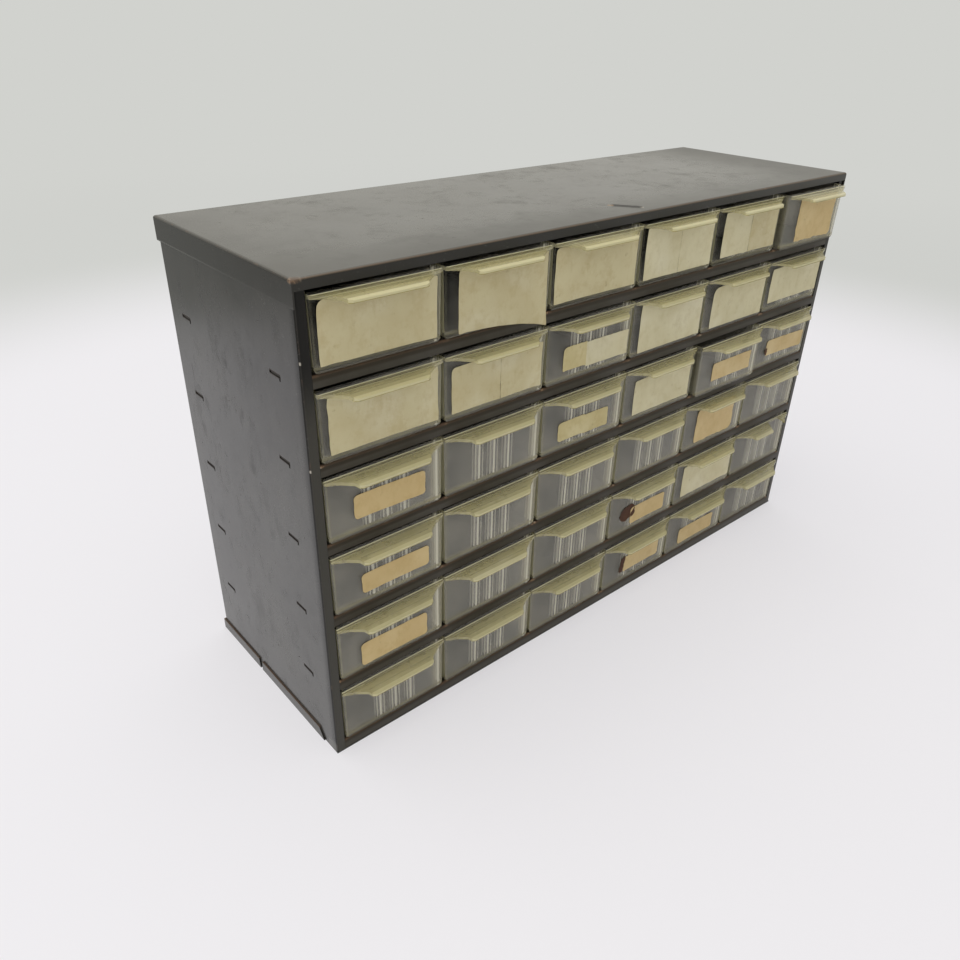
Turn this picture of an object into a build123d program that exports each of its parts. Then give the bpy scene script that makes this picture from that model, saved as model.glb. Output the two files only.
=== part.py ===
from build123d import *
import math
import os

# Parts cabinet: a folded sheet-steel carcass with six shelves and 36 clear drawers.
# Millimetres. The origin is the centre of the underside, the drawers face -Y and +Z is up.

# Overall sizes of the carcass, over the top cover
CABINET_WIDTH = 454.0
CABINET_DEPTH = 147.4
CABINET_HEIGHT = 282.0
ROWS = 6
COLUMNS = 6

# Sheet steel
SHEET = 0.9
BEND_RADIUS = 1.5
SEAT_GAP = 0.1

# Top cover
COVER_SIDE_FLANGE = 13.0
HEADER_HEIGHT = 5.4

# Side panels
STILE_WIDTH = 5.3
BACK_RETURN = 12.0

# Base pan
BASE_TAB_HEIGHT = 7.5
BASE_TAB_FRONT_SLANT = 5.0
BASE_TAB_SPLIT_SLANT = 1.0
FRONT_FOOT_LENGTH = 13.6
TAB_SPLIT_FROM_BACK = 53.2
TAB_SPLIT_WIDTH = 2.4

# Shelves
RAIL_HEIGHT = 6.5
BOTTOM_RAIL_HEIGHT = 7.9
STAKE_LENGTH = 9.8
STAKE_SETBACK = 0.45
STAKE_FROM_FRONT = 25.4
STAKE_FROM_BACK = 20.8
SLOT_CLEARANCE = 0.3
SLOT_HOOK_WIDTH = 1.2
SLOT_HOOK_DROP = 1.7
BEAD_WIDTH = 4.0
BEAD_CREST = 1.6
BEAD_HEIGHT = 1.2
BEAD_END_MARGIN = 3.0

# Drawers
HEADROOM = 2.1
RUNNING_GAP = 0.2
DRAWER_SIDE_GAP = 1.4
DRAWER_BACK_GAP = 0.6
DRAWER_WALL = 1.5
DRAWER_FRONT_WALL = 1.8
DRAWER_FLOOR = 1.6
DRAWER_CORNER_CUT = 1.5
DRAFT_ANGLE = 1.1

# Divider slots: each is a pair of ribs on the front wall facing a pair on the back wall
RIB_WIDTH = 2.0
RIB_REACH = 1.1
RIB_TOP_DROP = 2.5
SLOT_WIDTH = 1.3
SLOT_SPACING = 11.0
SLOTS = 3

# Pull lip along the top of the drawer front
LIP_REACH = 11.2
LIP_DROP = 3.0
LIP_THICKNESS = 1.8
LIP_BEAD_HEIGHT = 1.5
LIP_BEAD_DEPTH = 1.8
LIP_FRONT_WIDTH = 42.4
LIP_CORNER_CUT = 1.3
LIP_ROOT_WIDTH = 46.2
LIP_ROOT_REACH = 7.4
WING_MIDDLE_WIDTH = 58.0
WING_MIDDLE_REACH = 3.9
WING_END_REACH = 1.4

# One drawer's lip is broken: its right half is snapped off up to a stub along the wall
BROKEN_LIP_DRAWER = (5, 6)
BREAK_AT_FRONT = 1.0
BREAK_AT_ROOT = 8.0
BREAK_END = 23.0
BREAK_STUB = 0.6

# Drawers that stand a little way out at rest, by row and column
REST_PULLS = {(1, 6): 4.0, (3, 5): 4.0}

# Places worked out from the sizes above
HALF_WIDTH = CABINET_WIDTH / 2
HALF_DEPTH = CABINET_DEPTH / 2
PANEL_FACE = HALF_WIDTH - SHEET
PANEL_INSIDE = PANEL_FACE - SHEET
FRONT_PLANE = -HALF_DEPTH + SHEET
BACK_PLANE = HALF_DEPTH - SHEET
BACK_PANEL_INSIDE = BACK_PLANE - 2 * SHEET
STILE_EDGE = PANEL_FACE - STILE_WIDTH
PANEL_TOP = CABINET_HEIGHT - SHEET
PANEL_BOTTOM = SHEET
RAIL_STACK = HEADER_HEIGHT + BOTTOM_RAIL_HEIGHT + (ROWS - 1) * RAIL_HEIGHT
ROW_OPENING = (CABINET_HEIGHT - RAIL_STACK) / ROWS
ROW_PITCH = ROW_OPENING + RAIL_HEIGHT
COLUMN_PITCH = 2 * STILE_EDGE / COLUMNS
DRAWER_WIDTH = COLUMN_PITCH - DRAWER_SIDE_GAP
DRAWER_HEIGHT = ROW_OPENING - HEADROOM - RUNNING_GAP
DRAWER_LENGTH = BACK_PANEL_INSIDE - FRONT_PLANE - DRAWER_BACK_GAP
STAKE_PLACES = (FRONT_PLANE + STAKE_FROM_FRONT, BACK_PLANE - STAKE_FROM_BACK)


def block(x0, x1, y0, y1, z0, z1):
    """A rectangular solid between two opposite corners."""
    centre = Pos((x0 + x1) / 2, (y0 + y1) / 2, (z0 + z1) / 2)
    return centre * Box(abs(x1 - x0), abs(y1 - y0), abs(z1 - z0))


def shelf_top(row):
    """Height of the surface that the drawers of a row slide on, rows counted from the top."""
    return BOTTOM_RAIL_HEIGHT + (ROWS - row) * ROW_PITCH


def column_centre(column):
    """Middle of a column of drawers, columns counted from the left."""
    return -STILE_EDGE + (column - 1 / 2) * COLUMN_PITCH


def top_cover():
    """The folded lid: a tray turned over, its front flange cut back to a header."""
    skirt = CABINET_HEIGHT - COVER_SIDE_FLANGE
    body = block(-HALF_WIDTH, HALF_WIDTH, -HALF_DEPTH, HALF_DEPTH, skirt, CABINET_HEIGHT)
    rim = body.faces().sort_by(Axis.Z)[-1].edges()
    body = fillet(rim, BEND_RADIUS)
    body -= block(-PANEL_FACE, PANEL_FACE, FRONT_PLANE, BACK_PLANE, skirt, PANEL_TOP)
    header = CABINET_HEIGHT - HEADER_HEIGHT
    body -= block(-PANEL_FACE, PANEL_FACE, -HALF_DEPTH, FRONT_PLANE, skirt, header)
    return body


def stake_slot(row, place):
    """The narrow slot that a shelf tab is staked through, with the hooked front end."""
    top = shelf_top(row)
    low = top - RAIL_HEIGHT
    front = place - STAKE_LENGTH / 2 - SLOT_CLEARANCE
    back = place + STAKE_LENGTH / 2 + SLOT_CLEARANCE
    slot = block(-PANEL_FACE, -PANEL_INSIDE, front, back, low, low + SHEET + SLOT_CLEARANCE)
    hook_back = front + SLOT_HOOK_WIDTH
    return slot + block(-PANEL_FACE, -PANEL_INSIDE, front, hook_back, low - SLOT_HOOK_DROP, low)


def left_side_panel():
    """The side sheet with its stile turned in at the front and a return at the back."""
    outline = Polyline(
        (-STILE_EDGE, FRONT_PLANE),
        (-PANEL_FACE, FRONT_PLANE),
        (-PANEL_FACE, BACK_PLANE),
        (-PANEL_FACE + BACK_RETURN, BACK_PLANE),
        (-PANEL_FACE + BACK_RETURN, BACK_PLANE - SHEET),
        (-PANEL_INSIDE, BACK_PLANE - SHEET),
        (-PANEL_INSIDE, FRONT_PLANE + SHEET),
        (-STILE_EDGE, FRONT_PLANE + SHEET),
        close=True,
    )
    panel = extrude(make_face(outline), PANEL_TOP - PANEL_BOTTOM)
    bends = panel.edges().filter_by(Axis.Z).group_by(Axis.X)[0]
    panel = fillet(bends, BEND_RADIUS)
    panel = Pos(0, 0, PANEL_BOTTOM) * panel
    for row in range(1, ROWS):
        for place in STAKE_PLACES:
            panel -= stake_slot(row, place)
    return panel


def right_side_panel():
    """The mirror image of the left panel."""
    return mirror(left_side_panel(), Plane.YZ)


def back_panel():
    """A flat sheet inside the back returns of the side panels."""
    edge = PANEL_INSIDE - SEAT_GAP
    return block(-edge, edge, BACK_PANEL_INSIDE, BACK_PLANE - SHEET, PANEL_BOTTOM, PANEL_TOP)


def base_tab(front, back, front_slant, back_slant):
    """One folded-up tab of the base pan, outside the left panel, with slanted ends."""
    outline = Polyline(
        (front, 0),
        (back, 0),
        (back - back_slant, BASE_TAB_HEIGHT),
        (front + front_slant, BASE_TAB_HEIGHT),
        close=True,
    )
    tab = extrude(Plane.YZ * make_face(outline), SHEET)
    return Pos(-HALF_WIDTH, 0, 0) * tab


def base_pan():
    """The bottom sheet with two tabs folded up outside each side panel and a back flange."""
    pan = block(-PANEL_FACE, PANEL_FACE, FRONT_PLANE, HALF_DEPTH, 0, SHEET)
    pan += block(-PANEL_FACE, PANEL_FACE, BACK_PLANE, HALF_DEPTH, 0, BASE_TAB_HEIGHT)
    foot = FRONT_PLANE + FRONT_FOOT_LENGTH
    split = BACK_PLANE - TAB_SPLIT_FROM_BACK
    split_front = split - TAB_SPLIT_WIDTH / 2
    split_back = split + TAB_SPLIT_WIDTH / 2
    front_tab = base_tab(foot, split_front, BASE_TAB_FRONT_SLANT, BASE_TAB_SPLIT_SLANT)
    rear_tab = base_tab(split_back, HALF_DEPTH, BASE_TAB_SPLIT_SLANT, 0)
    for tab in (front_tab, rear_tab):
        pan += tab
        pan += mirror(tab, Plane.YZ)
    return pan


def guide_bead(x):
    """A low bead between two columns that keeps the drawers in line."""
    outline = Polyline(
        (x - BEAD_WIDTH / 2, 0),
        (x + BEAD_WIDTH / 2, 0),
        (x + BEAD_CREST / 2, BEAD_HEIGHT),
        (x - BEAD_CREST / 2, BEAD_HEIGHT),
        close=True,
    )
    length = BACK_PANEL_INSIDE - FRONT_PLANE - 2 * BEAD_END_MARGIN
    bead = extrude(Plane.XZ * make_face(outline), -length)
    return Pos(0, FRONT_PLANE + BEAD_END_MARGIN, 0) * bead


def shelf(row):
    """A shallow tray turned over, with guide beads on top and staked tabs at its sides."""
    edge = PANEL_INSIDE - SEAT_GAP
    back = BACK_PANEL_INSIDE - SEAT_GAP
    low = -RAIL_HEIGHT
    if row == ROWS:
        low = PANEL_BOTTOM - BOTTOM_RAIL_HEIGHT
    tray = block(-edge, edge, FRONT_PLANE, back, low, 0)
    front_bend = tray.edges().filter_by(Axis.X).group_by(Axis.Y)[0].sort_by(Axis.Z)[-1]
    tray = fillet(front_bend, BEND_RADIUS)
    tray -= block(-edge + SHEET, edge - SHEET, FRONT_PLANE + SHEET, back - SHEET, low, -SHEET)
    stile_back = FRONT_PLANE + SHEET + SEAT_GAP
    rail_end = STILE_EDGE - SEAT_GAP
    for side in (-1, 1):
        tray -= block(side * rail_end, side * edge, FRONT_PLANE, stile_back, low, 0)
    for gap in range(1, COLUMNS):
        tray += guide_bead(column_centre(gap) + COLUMN_PITCH / 2)
    if row < ROWS:
        for place in STAKE_PLACES:
            for side in (-1, 1):
                tray += block(
                    side * edge, side * (PANEL_FACE - STAKE_SETBACK),
                    place - STAKE_LENGTH / 2, place + STAKE_LENGTH / 2,
                    low, low + SHEET,
                )
    return Pos(0, 0, shelf_top(row)) * tray


def drawer_section(inset, floor):
    """Upright section of a drawer, its sides leaning out from the floor to the rim."""
    lean = math.tan(math.radians(DRAFT_ANGLE))
    top = DRAWER_WIDTH / 2 - inset
    bottom = top - lean * (DRAWER_HEIGHT - floor)
    outline = Polyline(
        (-top, DRAWER_HEIGHT),
        (-bottom, floor),
        (bottom, floor),
        (top, DRAWER_HEIGHT),
        close=True,
    )
    return make_face(outline)


def along_drawer(section, front, back):
    """Runs an upright section from one distance behind the drawer's face to another."""
    return Pos(0, front, 0) * extrude(Plane.XZ * section, front - back)


def divider_ribs(front, back):
    """Pairs of upright ribs on the front and back walls that hold lengthwise dividers."""
    offset = (SLOT_WIDTH + RIB_WIDTH) / 2
    top = DRAWER_HEIGHT - RIB_TOP_DROP
    ribs = Part()
    for slot in range(SLOTS):
        place = (slot - (SLOTS - 1) / 2) * SLOT_SPACING
        for x in (place - offset, place + offset):
            low_x = x - RIB_WIDTH / 2
            high_x = x + RIB_WIDTH / 2
            ribs += block(low_x, high_x, front, front + RIB_REACH, DRAWER_FLOOR, top)
            ribs += block(low_x, high_x, back - RIB_REACH, back, DRAWER_FLOOR, top)
    return ribs


def lip_plan():
    """Outline of the flange seen from above, drawn out in the middle into the lip."""
    half = [
        (DRAWER_WIDTH / 2, DRAWER_FRONT_WALL),
        (DRAWER_WIDTH / 2, -WING_END_REACH),
        (WING_MIDDLE_WIDTH / 2, -WING_MIDDLE_REACH),
        (LIP_ROOT_WIDTH / 2, -LIP_ROOT_REACH),
        (LIP_FRONT_WIDTH / 2, -LIP_REACH),
    ]
    other_half = [(-x, y) for x, y in reversed(half)]
    plan = make_face(Polyline(*half, *other_half, close=True))
    return chamfer(plan.vertices().group_by(Axis.Y)[0], LIP_CORNER_CUT)


def lip_profile():
    """Section of the flange from the wall forward, sloping down to a bead along its front edge."""
    front_top = DRAWER_HEIGHT - LIP_DROP
    bead_back = -LIP_REACH + LIP_BEAD_DEPTH
    bead_root = DRAWER_HEIGHT + LIP_DROP / LIP_REACH * bead_back - LIP_THICKNESS
    outline = Polyline(
        (DRAWER_FRONT_WALL, DRAWER_HEIGHT),
        (0, DRAWER_HEIGHT),
        (-LIP_REACH, front_top),
        (-LIP_REACH, front_top - LIP_BEAD_HEIGHT),
        (bead_back, front_top - LIP_BEAD_HEIGHT),
        (bead_back, bead_root),
        (0, DRAWER_HEIGHT - LIP_THICKNESS),
        (DRAWER_FRONT_WALL, DRAWER_HEIGHT - LIP_THICKNESS),
        close=True,
    )
    return make_face(outline)


def pull_lip():
    """The full-width flange along the top of the front, with the pull lip in its middle."""
    bar = extrude(Plane.YZ * lip_profile(), DRAWER_WIDTH / 2, both=True)
    return bar & extrude(lip_plan(), DRAWER_HEIGHT)


def lip_break():
    """What is missing from the broken lip."""
    outline = Polyline(
        (BREAK_AT_FRONT, -LIP_REACH),
        (BREAK_AT_ROOT, -BREAK_STUB),
        (BREAK_END, -BREAK_STUB),
        (BREAK_END, -LIP_REACH),
        close=True,
    )
    return extrude(make_face(outline), DRAWER_HEIGHT)


def drawer():
    """One clear moulding: an open box with divider ribs inside and a pull lip in front."""
    section = drawer_section(0, 0)
    section = chamfer(section.vertices().group_by(Axis.Y)[0], DRAWER_CORNER_CUT)
    shell = along_drawer(section, 0, DRAWER_LENGTH)
    front = DRAWER_FRONT_WALL
    back = DRAWER_LENGTH - DRAWER_WALL
    hollow = along_drawer(drawer_section(DRAWER_WALL, DRAWER_FLOOR), front, back)
    return shell - hollow + divider_ribs(front, back) + pull_lip()


def build_nodes():
    """Every piece of the cabinet under its own name."""
    nodes = {
        "top_cover": top_cover(),
        "left_side_panel": left_side_panel(),
        "right_side_panel": right_side_panel(),
        "back_panel": back_panel(),
        "base_pan": base_pan(),
    }
    for row in range(1, ROWS + 1):
        nodes[f"shelf_{row}"] = shelf(row)
    whole = drawer()
    broken = whole - lip_break()
    for row in range(1, ROWS + 1):
        for column in range(1, COLUMNS + 1):
            moulding = whole
            if (row, column) == BROKEN_LIP_DRAWER:
                moulding = broken
            pull = REST_PULLS.get((row, column), 0)
            seat = Pos(column_centre(column), FRONT_PLANE - pull, shelf_top(row) + RUNNING_GAP)
            nodes[f"drawer_r{row}_c{column}"] = seat * moulding
    return nodes


os.makedirs("parts", exist_ok=True)
for name, solid in build_nodes().items():
    export_step(solid, f"parts/{name}.step")
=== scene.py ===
import math
import random

import bpy
from mathutils import Matrix, Vector, noise


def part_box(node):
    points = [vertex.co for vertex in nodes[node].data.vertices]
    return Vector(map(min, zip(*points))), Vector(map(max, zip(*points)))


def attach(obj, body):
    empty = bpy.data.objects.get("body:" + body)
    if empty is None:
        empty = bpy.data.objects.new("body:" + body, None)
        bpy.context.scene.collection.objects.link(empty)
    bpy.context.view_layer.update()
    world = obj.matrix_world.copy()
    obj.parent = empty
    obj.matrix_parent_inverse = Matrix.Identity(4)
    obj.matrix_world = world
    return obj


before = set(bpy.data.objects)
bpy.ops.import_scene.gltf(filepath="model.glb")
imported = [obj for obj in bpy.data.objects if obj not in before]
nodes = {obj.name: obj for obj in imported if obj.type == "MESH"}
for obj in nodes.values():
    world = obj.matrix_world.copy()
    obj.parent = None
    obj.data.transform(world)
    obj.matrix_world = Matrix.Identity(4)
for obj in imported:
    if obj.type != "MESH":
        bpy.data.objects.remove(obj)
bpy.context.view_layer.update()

MM = 0.001

# Places and sizes in the shared frame, in metres, with the draft angle in degrees
FRONT = -72.8 * MM
COVER_FRONT = -73.7 * MM
COVER_SIDE = -227.0 * MM
COVER_FLANGE_END = 269.0 * MM
PANEL_SIDE = -226.1 * MM
TOP = 282.0 * MM
STILE_EDGE = 220.8 * MM
COLUMN_PITCH = 73.6 * MM
ROW_PITCH = 45.8667 * MM
SHELF_BASE = 7.9 * MM
LIP_REACH = 11.2 * MM
LIP_HALF_WIDTH = 21.6 * MM
BEAD_BOTTOM = 32.77 * MM
DRAWER_TOP = 37.27 * MM
DRAWER_HALF_WIDTH = 36.1 * MM
DRAFT_ANGLE = 1.1
RIB_PITCH = 11.0 * MM
RIB_OFFSET = 1.65 * MM
RIB_FIELD = 14.5 * MM
RIB_LIT_TOP = 31.0 * MM
SLIT_FRONT = -47.4 * MM
SLIT_BACK = 52.0 * MM
SLIT_DROP = 5.9 * MM
BASE_TAB_TOP = 7.5 * MM
REST_PULL = 4.0 * MM
PULLED_DRAWERS = ((1, 6), (3, 5))
ROWS = range(1, 7)
COLUMNS = range(1, 7)

# Edge bevels of the drawers, in metres and degrees
EDGE_SOFTNESS = 0.35 * MM
WELD_DISTANCE = 0.00001
FLAT_ANGLE = 1.0
BEVEL_ANGLE = 28.0

# Labels: mesh steps each way, sizes in millimetres, and the paper's thickness in metres
LABEL_STEPS_ACROSS, LABEL_STEPS_UP = 26, 16
CURL_REACH = 11.0
SEAM_GAP = 0.07
PAPER_THICKNESS = 0.11 * MM

# Stage and camera, in metres, degrees and watts. A lamp has a name, a place, a size and a power
FLOOR_HALF_SIZE = 60.0
WALL_DIRECTION = (-0.607, 0.794)
WALL_START, WALL_END = 0.82, 0.88
WORLD_TINT = (0.98, 0.985, 1.0, 1.0)
WORLD_STRENGTH = 0.7
LAMP_AIM = (0, 0, 0.12)
LAMPS = (("key", (-0.4, 0.2, 1.9), 2.0, 18.0), ("fill", (-1.5, -0.9, 1.1), 1.4, 4.0))
CAMERA_PLACE = (-0.3832, -0.3742, 0.3803)
CAMERA_AZIMUTH, CAMERA_ELEVATION, CAMERA_ROLL = -41.098, 30.185, 1.3367
CAMERA_LENS, CAMERA_SENSOR = 30.44, 36.0
CAMERA_CLIP_START = 0.01


def srgb(red, green, blue):
    """A colour as it looks on a screen, turned into shader values."""
    def linear(v):
        v = v / 255
        return v / 12.92 if v <= 0.04045 else ((v + 0.055) / 1.055) ** 2.4
    return (linear(red), linear(green), linear(blue), 1.0)


class Graph:
    """One procedural material, with short names for the nodes that it uses."""

    def __init__(self, name):
        self.material = bpy.data.materials.new(name)
        self.material.use_nodes = True
        self.tree = self.material.node_tree
        self.shader = self.tree.nodes["Principled BSDF"]
        coordinates = self.tree.nodes.new("ShaderNodeTexCoord")
        self.place = coordinates.outputs["Object"]
        self.x, self.y, self.z = self.split(self.place)
        self.nx, self.ny, self.nz = self.split(coordinates.outputs["Normal"])

    def put(self, socket, value):
        if isinstance(value, bpy.types.NodeSocket):
            self.tree.links.new(value, socket)
        else:
            socket.default_value = value

    def split(self, vector):
        node = self.tree.nodes.new("ShaderNodeSeparateXYZ")
        self.put(node.inputs[0], vector)
        return node.outputs

    def math(self, operation, a, b=0.0, c=0.0):
        node = self.tree.nodes.new("ShaderNodeMath")
        node.operation = operation
        for socket, value in zip(node.inputs, (a, b, c)):
            self.put(socket, value)
        return node.outputs[0]

    def plus(self, a, b):
        return self.math("ADD", a, b)

    def minus(self, a, b):
        return self.math("SUBTRACT", a, b)

    def size(self, value):
        return self.math("ABSOLUTE", value)

    def times(self, *values):
        result = values[0]
        for value in values[1:]:
            result = self.math("MULTIPLY", result, value)
        return result

    def most(self, *values):
        result = values[0]
        for value in values[1:]:
            result = self.math("MAXIMUM", result, value)
        return result

    def ramp(self, value, low, high, start=0.0, end=1.0):
        """Goes smoothly from start at low to end at high."""
        node = self.tree.nodes.new("ShaderNodeMapRange")
        node.interpolation_type = "SMOOTHSTEP"
        for socket, item in zip(node.inputs, (value, low, high, start, end)):
            self.put(socket, item)
        return node.outputs[0]

    def near(self, value, centre, reach, soft):
        """1 within reach of centre, fading to 0 over soft."""
        return self.ramp(self.size(self.minus(value, centre)), reach, reach + soft, 1.0, 0.0)

    def line(self, start, end, reach, soft, waver=0.0):
        """1 near a straight line in plan, fading to 0 over soft. Waver makes its edge ragged."""
        length = math.hypot(end[0] - start[0], end[1] - start[1])
        ux, uy = (end[0] - start[0]) / length, (end[1] - start[1]) / length
        dx, dy = self.minus(self.x, start[0]), self.minus(self.y, start[1])
        if waver:
            dx = self.plus(dx, self.times(self.minus(self.noise(260, 3, 0.6), 0.5), waver))
            dy = self.plus(dy, self.times(self.minus(self.noise(260, 3, 0.6, shift=(3, 5, 0)), 0.5), waver))
        along = self.plus(self.times(dx, ux), self.times(dy, uy))
        aside = self.minus(self.times(dy, ux), self.times(dx, uy))
        return self.times(self.near(along, length / 2, length / 2, soft), self.near(aside, 0.0, reach, soft))

    def repeat(self, value, first, pitch):
        """Signed distance to the nearest of evenly spaced places."""
        shifted = self.plus(value, pitch / 2 - first)
        return self.minus(self.math("FLOORED_MODULO", shifted, pitch), pitch / 2)

    def noise(self, scale, detail=4.0, rough=0.55, stretch=(1, 1, 1), shift=(0, 0, 0), turn=(0, 0, 0)):
        """Noise in the shared frame, turned by degrees about each axis before it is stretched."""
        mapping = self.tree.nodes.new("ShaderNodeMapping")
        place = self.place
        if any(turn):
            turned = self.tree.nodes.new("ShaderNodeMapping")
            self.put(turned.inputs["Vector"], place)
            turned.inputs["Rotation"].default_value = [math.radians(a) for a in turn]
            place = turned.outputs[0]
        self.put(mapping.inputs["Vector"], place)
        mapping.inputs["Location"].default_value = shift
        mapping.inputs["Scale"].default_value = stretch
        node = self.tree.nodes.new("ShaderNodeTexNoise")
        self.put(node.inputs["Vector"], mapping.outputs[0])
        node.inputs["Scale"].default_value = scale
        node.inputs["Detail"].default_value = detail
        node.inputs["Roughness"].default_value = rough
        return node.outputs["Fac"]

    def mix(self, factor, a, b):
        node = self.tree.nodes.new("ShaderNodeMix")
        node.data_type = "RGBA"
        self.put(node.inputs[0], factor)
        self.put(node.inputs[6], a)
        self.put(node.inputs[7], b)
        return node.outputs[2]

    def between(self, factor, a, b):
        """A number between a and b, as mix gives a colour between two."""
        node = self.tree.nodes.new("ShaderNodeMix")
        for socket, value in zip((node.inputs[0], node.inputs[2], node.inputs[3]), (factor, a, b)):
            self.put(socket, value)
        return node.outputs[0]

    def bump(self, height, strength, distance):
        node = self.tree.nodes.new("ShaderNodeBump")
        node.inputs["Strength"].default_value = strength
        node.inputs["Distance"].default_value = distance
        self.put(node.inputs["Height"], height)
        self.put(self.shader.inputs["Normal"], node.outputs[0])

    def set(self, **values):
        """Sets or links the shader's inputs, named in lower case, and gives the material."""
        for name, value in values.items():
            self.put(self.shader.inputs[name.replace("_", " ").title().replace("Ior", "IOR")], value)
        return self.material


PAINT = srgb(33, 31, 27)
PAINT_FADED = srgb(44, 41, 36)
# A darker paint for rubbed patches, also used for painted shade
PAINT_DARK_AND_SHADE = srgb(21, 20, 17)
# A pale grey for dust and light scratches, also used for painted sheen and painted highlights
PALE_DUST_AND_SHEEN = srgb(122, 121, 115)
RUST_DARK = srgb(48, 35, 27)
RUST = srgb(88, 68, 52)
RUST_PALE = srgb(112, 90, 68)
PRIMER = srgb(150, 122, 94)
BARE_STEEL = srgb(184, 177, 164)
RAIL_BROWN = srgb(42, 36, 24)
STILE_GREY = srgb(63, 61, 54)
FRONT_CHIPS = (0.2441, 0.1898)


class Paint(Graph):
    """Old dark enamel on sheet steel: semi-gloss, dulled by a thin layer of dust that in places also carries
    painted sheen, and worn through at the edges.
    """

    def __init__(self, name, smooth, dull):
        super().__init__(name)
        self.cloud = self.noise(24, 5, 0.6)
        self.peel = self.noise(380, 2, 0.5)
        self.colour = self.mix(self.ramp(self.cloud, 0.35, 0.68), PAINT, PAINT_FADED)
        self.roughness = self.ramp(self.cloud, 0.3, 0.7, smooth, dull)
        self.metal = 0.0
        self.shine = 1.0

    def layer(self, mask, colour, roughness, metal=0.0):
        self.colour = self.mix(mask, self.colour, colour)
        self.roughness = self.between(mask, self.roughness, roughness)
        if metal or self.metal:
            self.metal = self.between(mask, self.metal, metal)

    def matt(self, mask, shine):
        """Takes the shine off where the mask is 1."""
        self.shine = self.between(mask, self.shine, shine)

    def dull(self, mask, roughness):
        """Roughens where the mask is 1, which takes the most off a grazing view."""
        self.roughness = self.between(mask, self.roughness, roughness)

    def dust_and_sheen(self, mask, low, high, shift):
        """A thin uneven pale layer of old dust and handling, also laid on as painted sheen and painted
        highlight.
        """
        drift = self.noise(14, 6, 0.62, shift=shift)
        self.layer(self.times(mask, self.ramp(drift, 0.3, 0.7, low, high)), PALE_DUST_AND_SHEEN, 0.42)

    def scuffs(self, mask, scale, stretch, shift, strength):
        """Dull dark rubbed patches that take the shine off."""
        patch = self.ramp(self.noise(scale, 6, 0.66, stretch, shift), 0.5, 0.72)
        self.layer(self.times(mask, patch, strength), PAINT_DARK_AND_SHADE, 0.6)

    def scratches(self, strength):
        """Fine light scratches that run aslant, three ways."""
        first = self.noise(34, 2, 0.5, (1, 22, 22), turn=(0, 31, 38))
        second = self.noise(40, 2, 0.5, (22, 22, 1), (4, 2, 1), (27, 22, 0))
        third = self.noise(30, 2, 0.5, (1, 22, 22), (2, 6, 3), (0, -12, -17))
        marks = self.most(*(self.ramp(way, 0.69, 0.74) for way in (first, second, third)))
        self.layer(self.times(marks, strength), PALE_DUST_AND_SHEEN, 0.4)

    def pits(self, strength):
        """Small rusted pits."""
        pit = self.ramp(self.noise(230, 3, 0.6, shift=(2, 2, 5)), 0.69, 0.74)
        self.layer(self.times(pit, strength), RUST_DARK, 0.75)

    def worn(self, mask, start):
        """Paint gone along an edge: brown first, then primer, then bare steel where it is worst."""
        ragged = self.noise(110, 5, 0.68, shift=(1, 0, 4))
        self.layer(self.times(mask, self.ramp(ragged, start, start + 0.12)), RUST, 0.6)
        self.layer(self.times(mask, self.ramp(ragged, start + 0.15, start + 0.2)), PRIMER, 0.55)
        self.layer(self.times(mask, self.ramp(ragged, start + 0.22, start + 0.26)), BARE_STEEL, 0.35, 0.6)

    def done(self, gloss, hue=(1.0, 1.0, 1.0, 1.0)):
        """Ends the paint. A tint or a metal share that is the same all over stays a plain value."""
        self.bump(self.peel, 0.03, 0.0002)
        tint = hue if self.shine == 1.0 else self.mix(self.shine, (0.0, 0.0, 0.0, 1.0), hue)
        return self.set(base_color=self.colour, roughness=self.roughness, metallic=self.metal,
                        specular_ior_level=gloss, specular_tint=tint)


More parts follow.
